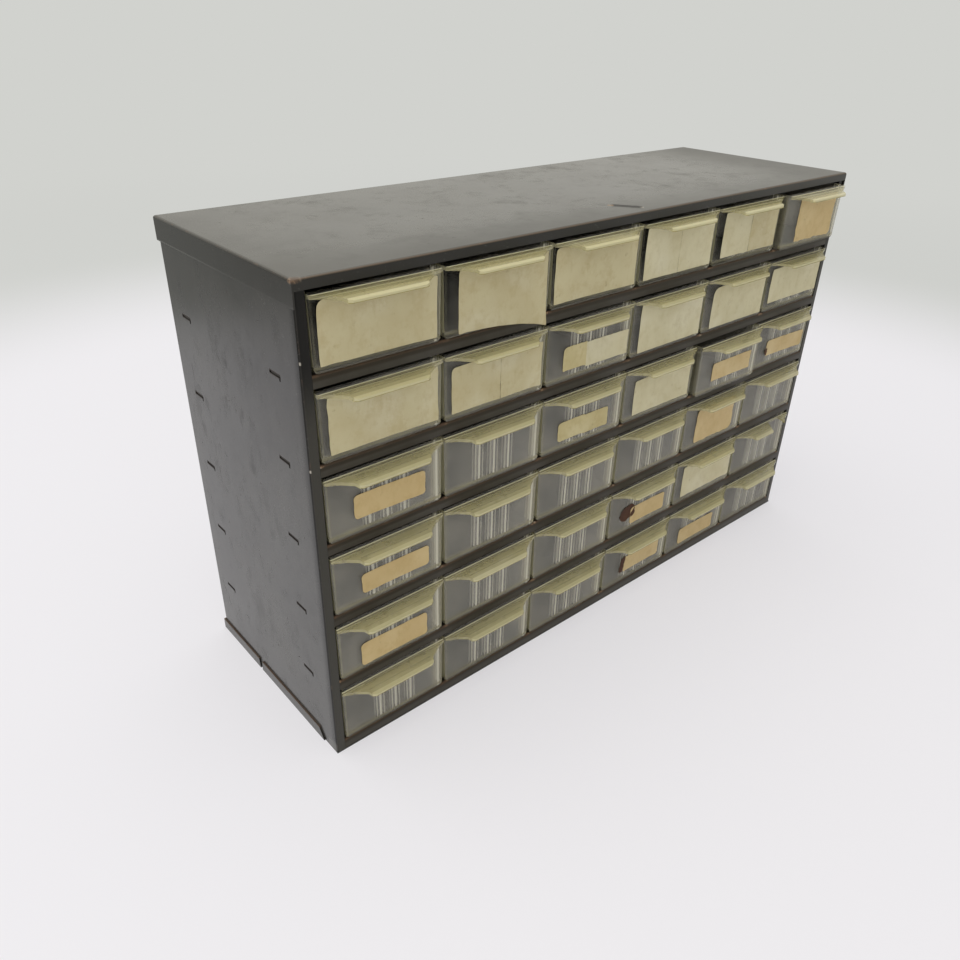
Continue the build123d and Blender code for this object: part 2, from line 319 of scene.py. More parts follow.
def top_cover_paint():
    """The lid: a layer of dust with painted sheen on top, duller towards its ends, painted shade on the front
    face, one scratched dent whose fold is painted shade, worn rims, and a painted highlight along the hem.
    """
    paint = Paint("cover_paint", 0.09, 0.17)
    up = paint.ramp(paint.nz, 0.6, 0.95)
    side = paint.ramp(paint.size(paint.nx), 0.6, 0.95)
    ends = paint.most(paint.ramp(paint.y, -0.035, -0.07), paint.ramp(paint.x, 0.15, 0.22),
                      paint.ramp(paint.x, -0.19, -0.226))
    # Dust with painted sheen on the lid's top, less towards its ends
    paint.dust_and_sheen(paint.times(up, paint.minus(1.0, paint.times(ends, 0.45))), 0.18, 0.44, (3, 1, 0))
    paint.scuffs(up, 30, (1, 1, 1), (1, 7, 0), 0.28)
    paint.scuffs(up, 90, (1, 1, 1), (5, 3, 0), 0.2)
    paint.dull(paint.times(up, paint.ramp(paint.x, -0.16, -0.226)), 0.26)
    paint.dull(paint.times(up, paint.ramp(paint.x, 0.13, 0.22)), 0.37)
    front_end = paint.times(up, paint.ramp(paint.y, -0.02, -0.075), paint.ramp(paint.x, -0.1, 0.0, 1.0, 0.75))
    paint.dull(front_end, 0.35)
    face = paint.ramp(paint.ny, -0.6, -0.95)
    # Painted shade on the lid's front face
    paint.layer(paint.times(face, 0.7), PAINT_DARK_AND_SHADE, 0.5)
    paint.matt(face, paint.ramp(paint.x, 0.02, 0.2, 0.42, 0.7))
    paint.layer(paint.times(side, 0.6), PAINT_DARK_AND_SHADE, 0.3)
    paint.matt(side, paint.ramp(paint.y, 0.02, -0.07, 0.5, 0.36))
    paint.scratches(0.15)
    paint.pits(0.28)
    scratch_start, scratch_end = (-18 * MM, -42 * MM), (-5 * MM, -57 * MM)
    dent_start, dent_end = (-3.8 * MM, -52 * MM), (5.6 * MM, -64.5 * MM)
    scratch = paint.line(scratch_start, scratch_end, 0.3 * MM, 0.5 * MM)
    dent_shade = paint.line(dent_start, dent_end, 2.0 * MM, 1.8 * MM, 3.0 * MM)
    hollow = paint.line((-4.5 * MM, -54.5 * MM), (2.5 * MM, -65.5 * MM), 2.0 * MM, 3.5 * MM)
    dent_lead = paint.line((-6 * MM, -50 * MM), dent_start, 0.7 * MM, 0.8 * MM, 1.5 * MM)
    dent_chip = paint.line(dent_end, (6.5 * MM, -66 * MM), 0.6 * MM, 0.6 * MM, 1.5 * MM)
    paint.layer(paint.times(up, scratch, 0.6), PALE_DUST_AND_SHEEN, 0.4)
    # The dent is not in the shape: its fold is painted shade and its hollow loses its shine, with a primer
    # lead and a chip of bare steel
    paint.matt(paint.times(up, hollow), 0.6)
    paint.layer(paint.times(up, dent_shade, 0.9), PAINT_DARK_AND_SHADE, 0.5)
    paint.matt(paint.times(up, dent_shade), 0.35)
    paint.layer(paint.times(up, dent_lead), PRIMER, 0.5)
    paint.layer(paint.times(up, dent_chip), BARE_STEEL, 0.25, 0.8)
    rim = paint.near(paint.z, TOP, 0.2 * MM, 0.9 * MM)
    front_edge = paint.times(paint.near(paint.y, COVER_FRONT, 0.2 * MM, 0.9 * MM), rim)
    side_edge = paint.times(paint.near(paint.size(paint.x), -COVER_SIDE, 0.2 * MM, 0.8 * MM), rim)
    back_edge = paint.times(paint.near(paint.y, -COVER_FRONT, 0.2 * MM, 0.8 * MM), rim)
    paint.layer(paint.times(front_edge, 0.75), RUST_PALE, 0.6)
    paint.layer(paint.times(back_edge, 0.45), PRIMER, 0.6)
    paint.worn(paint.times(front_edge, 0.8), 0.46)
    paint.worn(paint.most(paint.times(side_edge, 0.7), back_edge), 0.5)
    corner = paint.times(paint.near(paint.x, COVER_SIDE, 1.5 * MM, 4.0 * MM),
                         paint.near(paint.y, COVER_FRONT, 1.0 * MM, 3.0 * MM),
                         paint.near(paint.z, TOP, 0.8 * MM, 1.6 * MM))
    paint.worn(corner, 0.3)
    # Painted highlight along the lower edge of the side flanges, stronger towards the back
    hem_highlight = paint.times(side, paint.near(paint.z, COVER_FLANGE_END, 0.5 * MM, 0.4 * MM))
    paint.layer(paint.times(hem_highlight, paint.ramp(paint.y, -0.03, 0.05, 0.08, 0.3)), PALE_DUST_AND_SHEEN, 0.4)
    return paint.done(1.0, (1.0, 0.975, 0.905, 1.0))


def side_panel_paint():
    """The sides: rubbed in the middle, rusty at the slots, with a painted reflection low down, and the front
    stile that is turned in, with painted shade on it and along the turn.
    """
    paint = Paint("panel_paint", 0.14, 0.22)
    side = paint.ramp(paint.size(paint.nx), 0.6, 0.95)
    # Dust with a painted reflection: lighter low on the sides, fading towards the top
    paint.dust_and_sheen(paint.times(side, paint.ramp(paint.z, 0.16, 0.25, 1.0, 0.3)), 0.08, 0.26, (0, 5, 2))
    handled = paint.times(side, paint.near(paint.y, 0.02, 0.02, 0.05), paint.near(paint.z, 0.185, 0.03, 0.06))
    paint.scuffs(side, 44, (1, 1, 0.55), (6, 1, 3), 0.22)
    paint.scuffs(handled, 95, (1, 1, 0.5), (4, 6, 1), 0.42)
    paint.scuffs(side, 120, (1, 1, 0.6), (2, 9, 3), 0.22)
    paint.scratches(0.2)
    paint.pits(0.5)
    slit_level = paint.near(paint.repeat(paint.z, SHELF_BASE - SLIT_DROP, ROW_PITCH), 0.0, 0.8 * MM, 0.8 * MM)
    slit_place = paint.most(paint.near(paint.y, SLIT_FRONT, 5.0 * MM, 0.8 * MM),
                            paint.near(paint.y, SLIT_BACK, 5.0 * MM, 0.8 * MM))
    paint.layer(paint.times(side, slit_level, slit_place, 0.8), RUST_DARK, 0.7)
    # The front stile: painted shade, deepest near the top, over paint that is less faded than on the sides
    face = paint.ramp(paint.ny, -0.6, -0.9)
    stile = paint.mix(paint.ramp(paint.z, 0.245, 0.205), PAINT_DARK_AND_SHADE, STILE_GREY)
    paint.layer(paint.times(face, 0.9), stile, 0.45)
    paint.matt(face, 0.3)
    # Painted shade on the side where it turns in to the stile, with the shine taken off
    turned = paint.ramp(paint.y, FRONT + 7.5 * MM, FRONT + 0.5 * MM)
    paint.layer(paint.times(side, turned, 0.8), PAINT_DARK_AND_SHADE, 0.3)
    paint.matt(paint.times(side, turned), 0.08)
    foot = paint.times(side, paint.near(paint.y, FRONT + 5 * MM, 3.0 * MM, 4.0 * MM),
                       paint.near(paint.z, 3 * MM, 2.0 * MM, 4.0 * MM))
    paint.layer(paint.times(foot, 0.5), PALE_DUST_AND_SHEEN, 0.4)
    edge = paint.times(paint.near(paint.y, FRONT, 0.2 * MM, 0.8 * MM),
                       paint.near(paint.size(paint.x), -PANEL_SIDE, 0.2 * MM, 0.8 * MM))
    paint.worn(paint.times(edge, 0.7), 0.54)
    chip = paint.most(*(paint.near(paint.z, height, 0.4 * MM, 0.6 * MM) for height in FRONT_CHIPS))
    chip_reach = paint.times(paint.near(paint.y, FRONT, 0.6 * MM, 0.6 * MM),
                             paint.near(paint.x, PANEL_SIDE, 0.3 * MM, 0.6 * MM))
    paint.layer(paint.times(chip, chip_reach), BARE_STEEL, 0.4, 0.3)
    return paint.done(0.5)


def shelf_paint():
    """The shelves: brown rails with a painted highlight band and painted shade low on their face, worn along
    the bend and most at the joints.
    """
    paint = Paint("shelf_paint", 0.3, 0.4)
    level = paint.repeat(paint.z, SHELF_BASE, ROW_PITCH)
    joint = paint.size(paint.repeat(paint.x, -STILE_EDGE, COLUMN_PITCH))
    at_front = paint.near(paint.y, FRONT, 0.4 * MM, 1.2 * MM)
    bend = paint.times(at_front, paint.near(level, 0.0, 0.4 * MM, 1.2 * MM))
    face = paint.ramp(paint.ny, -0.6, -0.95)
    paint.layer(paint.times(face, 0.8), RAIL_BROWN, 0.42)
    # A painted highlight band across the rail's face
    highlight_band = paint.near(level, -4.9 * MM, 1.1 * MM, 1.6 * MM)
    paint.dust_and_sheen(paint.times(face, highlight_band), 0.04, 0.2, (5, 2, 1))
    # Painted shade on the lowest part of the rail's face
    foot = paint.ramp(level, -6.2 * MM, -7.0 * MM)
    paint.layer(paint.times(face, foot, 0.7), PAINT_DARK_AND_SHADE, 0.5)
    paint.layer(paint.times(bend, 0.55), RUST, 0.6)
    paint.worn(paint.times(bend, 0.5), 0.5)
    spot = paint.times(bend, paint.ramp(joint, 1.0 * MM, 4.5 * MM, 1.0, 0.0))
    paint.worn(paint.times(spot, 0.8), 0.36)
    return paint.done(0.25, (1.0, 0.93, 0.8, 1.0))


def base_paint():
    """The base pan, whose folded-up tabs have a rusty rim."""
    paint = Paint("base_paint", 0.18, 0.28)
    side = paint.ramp(paint.size(paint.nx), 0.6, 0.95)
    paint.dust_and_sheen(side, 0.14, 0.4, (1, 5, 2))
    rim = paint.near(paint.z, BASE_TAB_TOP, 0.3 * MM, 0.9 * MM)
    ragged = paint.noise(80, 5, 0.7)
    paint.layer(paint.times(rim, paint.ramp(ragged, 0.3, 0.5), 0.7), RUST, 0.6)
    spot = paint.times(paint.near(paint.y, FRONT + 6 * MM, 3.0 * MM, 2.0 * MM),
                       paint.near(paint.z, 4 * MM, 2.0 * MM, 2.0 * MM))
    paint.worn(spot, 0.36)
    return paint.done(0.5)


def back_paint():
    """The back, scuffed all over."""
    paint = Paint("back_paint", 0.24, 0.34)
    paint.dust_and_sheen(1.0, 0.02, 0.2, (2, 0, 1))
    paint.scuffs(1.0, 40, (1, 1, 1), (3, 1, 3), 0.6)
    paint.scratches(0.22)
    paint.pits(0.5)
    return paint.done(0.4)


STYRENE_GREY = srgb(150, 147, 136)
STYRENE_WARM = srgb(162, 157, 142)
STYRENE_INNER = srgb(160, 156, 142)
# Painted highlights on the divider ribs, and their refracted image on the front wall
RIB_FACE = srgb(200, 196, 180)
RIB_FLANK = srgb(232, 228, 208)
RIB_LINE = srgb(240, 235, 212)
# Painted highlights on the wall and floor edges seen edge on
CORNER = srgb(206, 200, 172)
CORNER_LINE = srgb(240, 236, 214)
RIGHT_ZONE = srgb(170, 164, 142)
RIGHT_EDGE = srgb(232, 227, 202)
OUTER_EDGE = srgb(172, 166, 136)
LEFT_EDGE = srgb(184, 178, 146)
FLANK = srgb(190, 184, 148)
SOLE = srgb(168, 160, 124)
# Painted contact shadow at the drawer's foot
FOOT_SHADOW = srgb(84, 76, 52)
# Painted highlight on the top rims, and painted shade on the front wall's top edge
RIM = srgb(206, 200, 160)
BROW_SHADE = srgb(60, 56, 40)
LIP_BACK = srgb(172, 163, 116)
LIP_FRONT = srgb(208, 199, 143)
LIP_STREAK = srgb(150, 141, 96)
LIP_GRIME = srgb(132, 122, 80)
LIP_UNDER = srgb(168, 158, 100)
# Painted highlights on the lip's crest and bead, and painted shade lines at its root, bend and under the bead
LIP_CREST = srgb(226, 220, 182)
LIP_ROOT = srgb(112, 102, 68)
LIP_BEND = srgb(146, 137, 92)
LIP_BEAD = srgb(216, 207, 158)
LIP_HEEL = srgb(158, 147, 86)
# Colour of the painted glow
PIPED_LIGHT = srgb(255, 252, 236)
PULLED_HAZE = 0.3
FIRST_FACE_HAZE, FAR_FACE_HAZE = 0.56, 0.1
STYRENE_IOR = 1.59
FOXING = srgb(124, 98, 62)


class Clear(Graph):
    """Clear plastic: a colour and how much of what lies behind it is hidden."""

    def start(self, colour, alpha):
        self.colour = colour
        self.alpha = alpha

    def layer(self, mask, colour, alpha):
        self.colour = self.mix(mask, self.colour, colour)
        self.alpha = self.between(mask, self.alpha, alpha)


def styrene(name, pull):
    """Clear styrene gone a little yellow: glassy walls with painted highlights where seen edge on and a faint
    painted glow, painted shade at the foot and top edge, and a cloudy pull lip with painted highlight and
    shade lines.
    Across is measured from the middle of the drawer, ahead from its face forwards and level from its
    underside."""
    plastic = Clear(name)
    across = plastic.repeat(plastic.x, -STILE_EDGE + COLUMN_PITCH / 2, COLUMN_PITCH)
    ahead = plastic.minus(FRONT - pull, plastic.y)
    level = plastic.math("FLOORED_MODULO", plastic.minus(plastic.z, SHELF_BASE), ROW_PITCH)
    cloud = plastic.noise(60, 5, 0.6)
    hair = plastic.ramp(plastic.noise(220, 3, 0.6, (1, 1, 0.12)), 0.55, 0.75)
    faces_side = plastic.ramp(plastic.size(plastic.nx), 0.4, 0.7)
    faces_up = plastic.ramp(plastic.nz, 0.3, 0.6)
    upper = plastic.ramp(plastic.z, 0.19, 0.22)
    top_row = plastic.ramp(plastic.z, 0.225, 0.24)
    # How much the walls hide grows towards the lower rows and towards each drawer's right side
    haze = PULLED_HAZE
    if not pull:
        haze = plastic.minus(plastic.ramp(plastic.z, 0.15, 0.26, 0.31, 0.13), plastic.times(top_row, 0.055))
    haze = plastic.plus(haze, plastic.ramp(across, -DRAWER_HALF_WIDTH, DRAWER_HALF_WIDTH, -0.02, 0.09))
    haze = plastic.plus(haze, plastic.ramp(cloud, 0.3, 0.7, -0.04, 0.04))
    tone = plastic.mix(plastic.ramp(cloud, 0.3, 0.7), STYRENE_GREY, STYRENE_WARM)
    plastic.start(tone, plastic.plus(haze, plastic.times(hair, 0.05)))
    # Behind the front wall, the face of a wall that light meets first is hazy, and its far face is clear
    inside = plastic.ramp(ahead, -3.4 * MM, -4.2 * MM)
    looks_in = plastic.most(faces_up, plastic.ramp(plastic.ny, -0.4, -0.7),
                            plastic.ramp(plastic.times(plastic.nx, across), -0.012, -0.02))
    lean = plastic.times(plastic.minus(DRAWER_TOP, level), math.tan(math.radians(DRAFT_ANGLE)))
    outer = plastic.most(plastic.ramp(level, 1.0 * MM, 0.6 * MM),
                         plastic.ramp(plastic.plus(plastic.size(across), lean), 35.2 * MM, 35.5 * MM))
    met_first = plastic.size(plastic.minus(looks_in, outer))
    plastic.layer(inside, STYRENE_INNER, plastic.ramp(met_first, 0.4, 0.6, FAR_FACE_HAZE, FIRST_FACE_HAZE))
    # Divider ribs behind the front wall, with painted highlights on them, and their refracted image painted
    # as light lines on the wall's face
    group = plastic.repeat(across, 0.0, RIB_PITCH)
    lit = plastic.ramp(level, RIB_LIT_TOP, RIB_LIT_TOP - 2.0 * MM)
    rib = plastic.near(plastic.size(group), RIB_OFFSET, 1.1 * MM, 0.1 * MM)
    rib = plastic.times(rib, plastic.near(across, 0.0, RIB_FIELD, 0.2 * MM),
                        plastic.near(ahead, -2.5 * MM, 0.75 * MM, 0.1 * MM), lit)
    plastic.layer(rib, RIB_FACE, 0.34)
    rib_side = plastic.times(rib, faces_side)
    plastic.layer(rib_side, RIB_FLANK, 0.5)
    rib_image_lines = plastic.most(plastic.times(plastic.near(group, -2.4 * MM, 0.3 * MM, 0.4 * MM), 0.6),
                         plastic.near(group, 0.2 * MM, 0.5 * MM, 0.5 * MM),
                         plastic.times(plastic.near(group, 2.7 * MM, 0.3 * MM, 0.4 * MM), 0.55))
    rib_image_lines = plastic.times(rib_image_lines, plastic.near(across, 0.0, RIB_FIELD, 0.4 * MM),
                          plastic.near(ahead, 0.0, 0.2 * MM, 0.2 * MM),
                          plastic.ramp(plastic.ny, -0.6, -0.9), plastic.ramp(level, 1.8 * MM, 3.0 * MM), lit)
    plastic.layer(rib_image_lines, RIB_LINE, 0.5)
    # Painted highlights on the wall edges that pipe the light
    wall_end = plastic.times(plastic.ramp(ahead, -2.2 * MM, -1.9 * MM),
                             plastic.ramp(ahead, 0.4 * MM, 0.2 * MM))
    corner = plastic.times(faces_side, plastic.ramp(across, 33.0 * MM, 33.6 * MM),
                           plastic.near(ahead, -4.2 * MM, 2.2 * MM, 0.3 * MM))
    plastic.layer(corner, CORNER, 0.5)
    corner_lines = plastic.near(plastic.size(plastic.plus(ahead, 4.2 * MM)), 2.0 * MM, 0.2 * MM, 0.15 * MM)
    plastic.layer(plastic.times(corner, corner_lines), CORNER_LINE, 0.85)
    right_zone = plastic.times(wall_end, plastic.ramp(across, 27.4 * MM, 28.8 * MM))
    plastic.layer(right_zone, RIGHT_ZONE, plastic.plus(haze, 0.08))
    right_edge = plastic.times(wall_end, plastic.near(across, 32.5 * MM, 0.5 * MM, 0.6 * MM))
    outer_edge = plastic.times(wall_end, plastic.ramp(across, 34.4 * MM, 34.8 * MM))
    flank = plastic.times(faces_side, plastic.ramp(across, -34.6 * MM, -35.2 * MM),
                          plastic.ramp(ahead, -9.0 * MM, -5.0 * MM))
    plastic.layer(flank, FLANK, 0.15 if pull else 0.6)
    left_edge = plastic.times(wall_end,
                              plastic.near(across, 1.6 * MM - DRAWER_HALF_WIDTH, 0.35 * MM, 0.3 * MM))
    plastic.layer(left_edge, LEFT_EDGE, plastic.plus(haze, 0.05))
    plastic.layer(right_edge, RIGHT_EDGE, 0.55)
    plastic.layer(outer_edge, OUTER_EDGE, 0.42)
    # A painted highlight low on the front wall, where the floor meets it
    sole = plastic.times(wall_end, plastic.near(level, 2.6 * MM, 0.5 * MM, 0.8 * MM))
    plastic.layer(sole, SOLE, plastic.plus(haze, 0.16))
    # Painted contact shadow along the drawer's foot
    foot = plastic.times(wall_end, plastic.ramp(level, 1.5 * MM, 0.6 * MM))
    plastic.layer(foot, FOOT_SHADOW, 0.6)
    # Painted highlight on the top rims of the walls behind the front wall
    at_top = plastic.ramp(level, DRAWER_TOP - 0.9 * MM, DRAWER_TOP - 0.6 * MM)
    rim = plastic.times(faces_up, plastic.ramp(ahead, -1.9 * MM, -2.2 * MM), at_top)
    plastic.layer(rim, RIM, 0.4)
    # Painted shade on the front wall's top edge
    brow = plastic.times(faces_up, plastic.near(ahead, -0.9 * MM, 0.9 * MM, 0.3 * MM), at_top)
    plastic.layer(brow, BROW_SHADE, 0.25)
    # Pull lip: pale yellow and streaky, paler towards the front, with a painted highlight along its crest and
    # bead, and thin painted shade lines at its root, bend and under the bead
    lip_start = plastic.between(upper, 0.1 * MM, 1.2 * MM)
    lip = plastic.ramp(ahead, lip_start, plastic.plus(lip_start, 0.4 * MM))
    streak = plastic.ramp(plastic.noise(420, 4, 0.6, (0.06, 1, 1)), 0.35, 0.65)
    grime = plastic.ramp(plastic.noise(160, 5, 0.65), 0.5, 0.72)
    lip_tone = plastic.mix(plastic.ramp(ahead, 0.5 * MM, LIP_REACH), LIP_BACK, LIP_FRONT)
    lip_tone = plastic.mix(plastic.times(streak, 0.35), lip_tone, LIP_STREAK)
    lip_tone = plastic.mix(plastic.times(grime, 0.3), lip_tone, LIP_GRIME)
    lip_tone = plastic.mix(plastic.times(top_row, 0.3), lip_tone, LIP_STREAK)
    plastic.layer(lip, lip_tone, 0.56)
    under = plastic.times(lip, plastic.ramp(plastic.nz, -0.2, -0.5))
    plastic.layer(under, LIP_UNDER, 0.5)
    reach = plastic.near(across, 0.0, LIP_HALF_WIDTH, 0.4 * MM)
    # Painted highlight along the lip's crest
    crest = plastic.times(faces_up,
                          plastic.near(ahead, plastic.plus(lip_start, 0.5 * MM), 0.2 * MM, 0.3 * MM))
    plastic.layer(crest, LIP_CREST, 0.75)
    # Painted shade lines at the lip's root and bend
    root = plastic.times(reach, faces_up,
                         plastic.near(ahead, plastic.plus(lip_start, 2.0 * MM), 0.15 * MM, 0.3 * MM))
    plastic.layer(plastic.times(root, 0.8), LIP_ROOT, 0.66)
    bend = plastic.times(reach, faces_up, plastic.near(ahead, 6.4 * MM, 0.1 * MM, 0.3 * MM))
    plastic.layer(plastic.times(bend, 0.7), LIP_BEND, 0.6)
    # Painted highlight on the bead, with painted shade along its lower edge
    bead = plastic.times(reach, plastic.ramp(ahead, LIP_REACH - 2.4 * MM, LIP_REACH - 1.9 * MM))
    plastic.layer(bead, LIP_BEAD, 0.68)
    heel = plastic.times(bead, plastic.ramp(level, BEAD_BOTTOM + 0.6 * MM, BEAD_BOTTOM + 0.25 * MM))
    plastic.layer(heel, LIP_HEEL, 0.7)
    # A faint painted glow on the rib sides and the right wall edge
    glow = plastic.most(plastic.times(rib_side, 0.05), plastic.times(right_edge, 0.03))
    return plastic.set(base_color=plastic.colour, roughness=plastic.ramp(cloud, 0.3, 0.7, 0.08, 0.18),
                       alpha=plastic.alpha, ior=STYRENE_IOR, specular_ior_level=0.8,
                       emission_color=PIPED_LIGHT, emission_strength=glow)


def paper(name, tone, stain, pale, rough, foxing):
    """Aged paper or tape: soft blotches, a few brown spots, a faint fibre."""
    sheet = Graph(name)
    cloud = sheet.noise(42, 4, 0.55)
    blotch = sheet.noise(130, 5, 0.66, shift=(7, 2, 4))
    smear = sheet.noise(280, 4, 0.62, (1, 1, 0.45), (3, 8, 2))
    fibre = sheet.noise(1500, 2, 0.5)
    fox = sheet.ramp(sheet.noise(190, 4, 0.6, shift=(2, 5, 1)), 0.63, 0.76)
    bleach = sheet.noise(30, 3, 0.5, shift=(9, 4, 1))
    colour = sheet.mix(sheet.ramp(cloud, 0.35, 0.7, 0, 0.4), tone, stain)
    colour = sheet.mix(sheet.ramp(bleach, 0.48, 0.7, 0, 0.45), colour, pale)
    colour = sheet.mix(sheet.ramp(blotch, 0.46, 0.7, 0, 0.5), colour, stain)
    colour = sheet.mix(sheet.ramp(smear, 0.52, 0.72, 0, 0.35), colour, stain)
    colour = sheet.mix(sheet.times(fox, foxing), colour, FOXING)
    sheet.bump(sheet.plus(sheet.times(cloud, 3.0), sheet.times(fibre, 0.3)), 0.2, 0.0003)
    return sheet.set(base_color=colour, roughness=rough, specular_ior_level=0.3)


def wear(obj, material):
    """Gives a CAD node its material."""
    obj.data.materials.clear()
    obj.data.materials.append(material)


def soften(obj, width, segments=2):
    """Rounds the sharp edges of a CAD node for the light to catch."""
    weld = obj.modifiers.new("weld", "WELD")
    weld.merge_threshold = WELD_DISTANCE
    flat = obj.modifiers.new("flat", "DECIMATE")
    flat.decimate_type = "DISSOLVE"
    flat.angle_limit = math.radians(FLAT_ANGLE)
    bevel = obj.modifiers.new("bevel", "BEVEL")
    bevel.width = width
    bevel.segments = segments
    bevel.limit_method = "ANGLE"
    bevel.angle_limit = math.radians(BEVEL_ANGLE)


cover = top_cover_paint()
panel = side_panel_paint()
rail = shelf_paint()
wear(nodes["top_cover"], cover)
wear(nodes["left_side_panel"], panel)
wear(nodes["right_side_panel"], panel)
wear(nodes["base_pan"], base_paint())
wear(nodes["back_panel"], back_paint())
for row in ROWS:
    wear(nodes[f"shelf_{row}"], rail)

clear = styrene("clear_styrene", 0.0)
clear_out = styrene("clear_styrene_out", REST_PULL)
for row in ROWS:
    for column in COLUMNS:
        drawer = nodes[f"drawer_r{row}_c{column}"]
        wear(drawer, clear_out if (row, column) in PULLED_DRAWERS else clear)
        soften(drawer, EDGE_SOFTNESS)

CREAM = paper("label_cream", srgb(197, 187, 149), srgb(178, 162, 120), srgb(210, 203, 174), 0.8, 0.35)
PALE = paper("label_pale", srgb(206, 198, 164), srgb(188, 177, 138), srgb(216, 210, 184), 0.8, 0.25)
BUFF = paper("label_buff", srgb(196, 183, 136), srgb(176, 159, 110), srgb(208, 197, 156), 0.7, 0.35)
TAPE = paper("label_tape", srgb(199, 175, 124), srgb(181, 154, 99), srgb(210, 191, 143), 0.45, 0.3)
RESIDUE = paper("label_residue", srgb(78, 50, 34), srgb(52, 32, 22), srgb(96, 64, 42), 0.8, 0.1)


def drawn_in(distance, radius):
    """How far a rounded corner draws an edge in, at a distance from the corner's other edge."""
    if distance >= radius:
        return 0.0
    return radius - math.sqrt(radius ** 2 - (radius - distance) ** 2)


def label(drawer, material, left, right, low, high, tilt=0.0, corners=(0.5, 0.5, 0.5, 0.5),
          curls=(0.3, 0.3, 0.3, 0.3), hang=0.0, ragged=0.25, part=""):
    """A hand-cut label on a drawer's face. Sizes are in millimetres from the middle of the face and
    from its bottom. Corner radii and curls go round from the top left, and hang is how far the lower
    edge drops at its right end."""
    name = f"label_{drawer}{part}"
    rng = random.Random(name)
    node_low, node_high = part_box(f"drawer_{drawer}")
    centre = (node_low[0] + node_high[0]) / 2
    face = node_low[1] + LIP_REACH
    base = node_low[2]
    across, up = LABEL_STEPS_ACROSS, LABEL_STEPS_UP
    turn = math.radians(tilt)
    middle_x, middle_z = (left + right) / 2, (low + high) / 2
    seed = Vector((rng.uniform(0, 50), rng.uniform(0, 50), rng.uniform(0, 50)))
    top_left, top_right, low_right, low_left = corners
    places = ((0, 1), (1, 1), (1, 0), (0, 0))
    points = []
    for j in range(up + 1):
        v = 0.5 - 0.5 * math.cos(math.pi * j / up)
        z = low + (high - low) * v
        start = left + drawn_in(high - z, top_left) + drawn_in(z - low, low_left)
        end = right - drawn_in(high - z, top_right) - drawn_in(z - low, low_right)
        for i in range(across + 1):
            u = 0.5 - 0.5 * math.cos(math.pi * i / across)
            x = start + (end - start) * u
            x += ragged * noise.noise(seed + Vector((u * 2, v * 6, 0))) * abs(2 * u - 1) ** 4
            drop = hang * u ** 2.2 * (1 - v)
            rise = z - drop + ragged * noise.noise(seed + Vector((u * 8, 3, v * 2))) * abs(2 * v - 1) ** 4
            lift = 0.12 + 0.10 * (1 + noise.noise(seed + Vector((u * 3, 9, v * 2)))) + 0.06 * drop
            for (cu, cv), curl in zip(places, curls):
                away = math.hypot((u - cu) * (right - left), (v - cv) * (high - low))
                lift += curl * max(0.0, 1 - away / CURL_REACH) ** 2
            dx, dz = x - middle_x, rise - middle_z
            points.append((centre + (middle_x + dx * math.cos(turn) - dz * math.sin(turn)) * MM,
                           face - lift * MM,
                           base + (middle_z + dx * math.sin(turn) + dz * math.cos(turn)) * MM))
    faces = []
    for j in range(up):
        for i in range(across):
            a = j * (across + 1) + i
            faces.append((a, a + 1, a + across + 2, a + across + 1))
    mesh = bpy.data.meshes.new(name)
    mesh.from_pydata(points, [], faces)
    for polygon in mesh.polygons:
        polygon.use_smooth = True
    mesh.materials.append(material)
    piece = bpy.data.objects.new(name, mesh)
    bpy.context.scene.collection.objects.link(piece)
    thickness = piece.modifiers.new("thickness", "SOLIDIFY")
    thickness.thickness = PAPER_THICKNESS
    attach(piece, f"drawer_{drawer}")


def split_label(drawer, material, left, right, low, high, seam, **shape):
    """Two papers butted at a seam."""
    label(drawer, material, left, seam - SEAM_GAP, low, high, part="_left", **shape)
    label(drawer, material, seam + SEAM_GAP, right, low, high, part="_right", **shape)


ROUND = (2.2, 2.2, 2.2, 2.2)
# Row 1
label("r1_c1", CREAM, -32.2, 33.6, 2.9, 33.4, tilt=-0.6, corners=(3.6, 0.5, 0.5, 0.5),
      curls=(1.0, 0.3, 0.2, 0.4))
label("r1_c2", CREAM, -26.6, 34.0, 0.8, 34.2, corners=(2.6, 1.0, 0.6, 0.4), curls=(0.6, 0.2, 1.2, 0.3),
      hang=7.2)
label("r1_c3", CREAM, -33.3, 33.9, 2.9, 33.6, corners=(2.0, 0.5, 0.5, 0.5))
split_label("r1_c4", PALE, -31.6, 34.4, 2.9, 33.8, 1.5)
label("r1_c5", PALE, -27.5, 3.42, 4.2, 33.0, part="_left")
label("r1_c5", CREAM, 3.58, 34.2, 4.2, 33.0, part="_right")
label("r1_c6", TAPE, -18.9, 28.6, 4.0, 33.2, corners=(0.6, 2.0, 5.0, 0.6), curls=(0.2, 0.8, 1.0, 0.2),
      ragged=1.1)
# Row 2
label("r2_c1", CREAM, -30.7, 33.7, 3.6, 33.4, corners=(0.6, 0.5, 0.5, 0.5), curls=(0.3, 0.3, 0.5, 0.6),
      ragged=0.5)
split_label("r2_c2", CREAM, -30.9, 33.8, 3.6, 29.5, 3.0, corners=(2.4, 0.4, 0.4, 0.4))
label("r2_c3", BUFF, -22.0, -2.6, 6.6, 21.2, corners=(2.4, 0.4, 0.4, 0.6), part="_left")
label("r2_c3", PALE, -3.0, 34.2, 5.4, 20.8, part="_right")
label("r2_c4", PALE, -28.4, 34.6, 1.9, 33.6)
label("r2_c5", PALE, -26.8, 34.6, 1.9, 30.2, corners=(5.0, 0.5, 0.5, 0.5))
label("r2_c6", PALE, -30.6, 34.4, 6.1, 31.0, corners=(1.0, 0.5, 0.5, 0.5))
